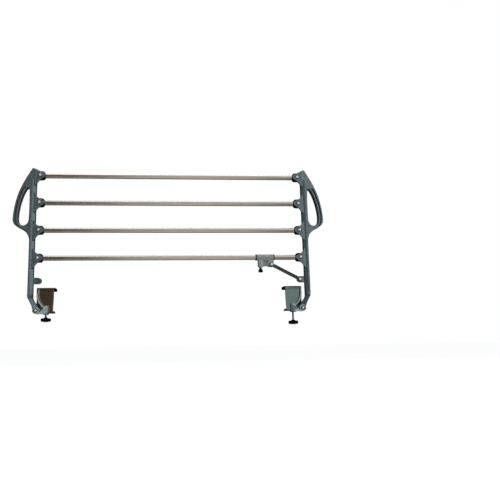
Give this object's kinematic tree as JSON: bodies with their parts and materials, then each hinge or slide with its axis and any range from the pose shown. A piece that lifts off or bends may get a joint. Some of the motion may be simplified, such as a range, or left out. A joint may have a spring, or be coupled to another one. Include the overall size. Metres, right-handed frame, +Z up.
{
  "type": "folding bed guard rail",
  "caption": "Folding bed guard rail: hammered-finish cast posts with D-shaped grab handles, steel tubes that fold as a parallelogram, a brace with pull-knob lock, and bed-rail clamps.",
  "frame": {"origin": "middle of the rubber seat under the left clamp's upper jaw, where the jaw rests on the bed's side rail", "axes": "+X along the rail to the right as seen from the room, +Y from the room towards the bed, +Z up"},
  "size_m": [1.1944, 0.0946, 0.6056],
  "materials": {
    "post_paint": "dark blue-grey hammered paint, semi-gloss, on cast aluminium",
    "clamp_paint": "grey-green hammered paint, semi-gloss, on cast metal",
    "stainless_tube": "polished stainless steel tube",
    "bright_screws": "bright plated screws",
    "zinc_steel": "zinc-plated steel",
    "spring_steel": "plain spring wire",
    "link_metal": "ribbed aluminium bar, satin",
    "slider_metal": "grey paint on cast aluminium",
    "collar_plastic": "dark grey moulded plastic",
    "black_nylon": "black moulded nylon",
    "jaw_rubber": "matt black rubber"
  },
  "bodies": {
    "left_clamp": {"left_clamp_body": "clamp_paint", "left_jaw_sleeve": "jaw_rubber", "left_fold_bolt": "bright_screws", "left_fold_nut": "zinc_steel"},
    "left_post": {"left_post": "post_paint", "left_fold_bush": "black_nylon", "left_joint_screw_1": "bright_screws", "left_joint_screw_2": "bright_screws", "left_joint_screw_3": "bright_screws", "left_joint_screw_4": "bright_screws", "left_joint_nut_1": "zinc_steel", "left_joint_nut_2": "zinc_steel", "left_joint_nut_3": "zinc_steel", "left_joint_nut_4": "zinc_steel"},
    "rail_1": {"tube_1": "stainless_tube", "left_knuckle_1": "black_nylon", "right_knuckle_1": "black_nylon"},
    "rail_2": {"tube_2": "stainless_tube", "left_knuckle_2": "black_nylon", "right_knuckle_2": "black_nylon"},
    "rail_3": {"tube_3": "stainless_tube", "left_knuckle_3": "black_nylon", "right_knuckle_3": "black_nylon"},
    "rail_4": {"tube_4": "stainless_tube", "left_knuckle_4": "black_nylon", "right_knuckle_4": "black_nylon"},
    "right_post": {"right_post": "post_paint", "right_fold_bush": "black_nylon", "right_joint_screw_1": "bright_screws", "right_joint_screw_2": "bright_screws", "right_joint_screw_3": "bright_screws", "right_joint_screw_4": "bright_screws", "right_joint_nut_1": "zinc_steel", "right_joint_nut_2": "zinc_steel", "right_joint_nut_3": "zinc_steel", "right_joint_nut_4": "zinc_steel"},
    "right_clamp": {"right_clamp_body": "clamp_paint", "right_jaw_sleeve": "jaw_rubber", "right_fold_bolt": "bright_screws", "right_fold_nut": "zinc_steel"},
    "slider": {"slider_body": "slider_metal", "slider_bush_left": "collar_plastic", "slider_bush_right": "collar_plastic", "latch_gland": "zinc_steel", "latch_spring": "spring_steel", "link_upper_screw": "bright_screws", "link_upper_nut": "zinc_steel"},
    "latch": {"latch_plunger": "zinc_steel", "latch_knob": "black_nylon"},
    "link": {"brace_link": "link_metal", "link_lower_screw": "bright_screws"},
    "left_pad": {"left_pressure_pad": "black_nylon"},
    "left_screw": {"left_clamp_screw": "zinc_steel", "left_clamp_knob": "black_nylon"},
    "right_pad": {"right_pressure_pad": "black_nylon"},
    "right_screw": {"right_clamp_screw": "zinc_steel", "right_clamp_knob": "black_nylon"}
  },
  "joints": [
    {"name": "fold", "type": "hinge", "parent": "left_clamp", "child": "left_post", "pos_m": [-0.026, -0.05, -0.0755], "axis": [0, 1, 0], "range_deg": [0, 70]},
    {"name": "rail_1_pivot", "type": "hinge", "parent": "left_post", "child": "rail_1", "pos_m": [-0.026, -0.05, 0.442], "axis": [0, 1, 0], "range_deg": [-71, 0]},
    {"name": "rail_2_pivot", "type": "hinge", "parent": "left_post", "child": "rail_2", "pos_m": [-0.026, -0.05, 0.335], "axis": [0, 1, 0], "range_deg": [-71, 0]},
    {"name": "rail_3_pivot", "type": "hinge", "parent": "left_post", "child": "rail_3", "pos_m": [-0.026, -0.05, 0.228], "axis": [0, 1, 0], "range_deg": [-71, 0]},
    {"name": "rail_4_pivot", "type": "hinge", "parent": "left_post", "child": "rail_4", "pos_m": [-0.026, -0.05, 0.121], "axis": [0, 1, 0], "range_deg": [-71, 0]},
    {"name": "right_post_pivot", "type": "hinge", "parent": "rail_4", "child": "right_post", "pos_m": [0.974, -0.05, 0.121], "axis": [0, 1, 0], "range_deg": [0, 71]},
    {"name": "right_clamp_pivot", "type": "hinge", "parent": "right_post", "child": "right_clamp", "pos_m": [0.974, -0.05, -0.0755], "axis": [0, 1, 0], "range_deg": [-71, 0]},
    {"name": "slider_travel", "type": "slide", "parent": "rail_4", "child": "slider", "axis": [-1, 0, 0], "range_m": [0, 0.093]},
    {"name": "link_pivot", "type": "hinge", "parent": "slider", "child": "link", "pos_m": [0.859, -0.05, 0.092], "axis": [0, 1, 0], "range_deg": [-32, 0]},
    {"name": "latch_pull", "type": "slide", "parent": "slider", "child": "latch", "axis": [0, 0, -1], "range_m": [0, 0.007], "stiffness_N_per_m": 500, "springref_m": -0.003, "deforming": ["latch_spring"]},
    {"name": "left_screw_travel", "type": "slide", "parent": "left_clamp", "child": "left_pad", "axis": [0, 0, 1], "range_m": [-0.02, 0.01]},
    {"name": "left_screw_turn", "type": "hinge", "parent": "left_pad", "child": "left_screw", "pos_m": [0, -0.008, -0.0755], "axis": [0, 0, 1], "range_deg": [-5780, 2900]},
    {"name": "right_screw_travel", "type": "slide", "parent": "right_clamp", "child": "right_pad", "axis": [0, 0, 1], "range_m": [-0.003, 0.0295]},
    {"name": "right_screw_turn", "type": "hinge", "parent": "right_pad", "child": "right_screw", "pos_m": [0.948, -0.008, -0.0755], "axis": [0, 0, 1], "range_deg": [-884, 8516]}
  ],
  "couplings": [
    {"joint": "rail_1_pivot", "follows": "fold", "ratio": -1},
    {"joint": "rail_2_pivot", "follows": "fold", "ratio": -1},
    {"joint": "rail_3_pivot", "follows": "fold", "ratio": -1},
    {"joint": "rail_4_pivot", "follows": "fold", "ratio": -1},
    {"joint": "right_post_pivot", "follows": "fold", "ratio": 1},
    {"joint": "right_clamp_pivot", "follows": "fold", "ratio": -1},
    {"joint": "slider_travel", "follows": "fold", "m_per_rad": 0.07488},
    {"joint": "link_pivot", "follows": "fold", "ratio": -0.43086},
    {"joint": "left_screw_turn", "follows": "left_screw_travel", "rad_per_m": 5026.5},
    {"joint": "right_screw_turn", "follows": "right_screw_travel", "rad_per_m": 5026.5}
  ]
}
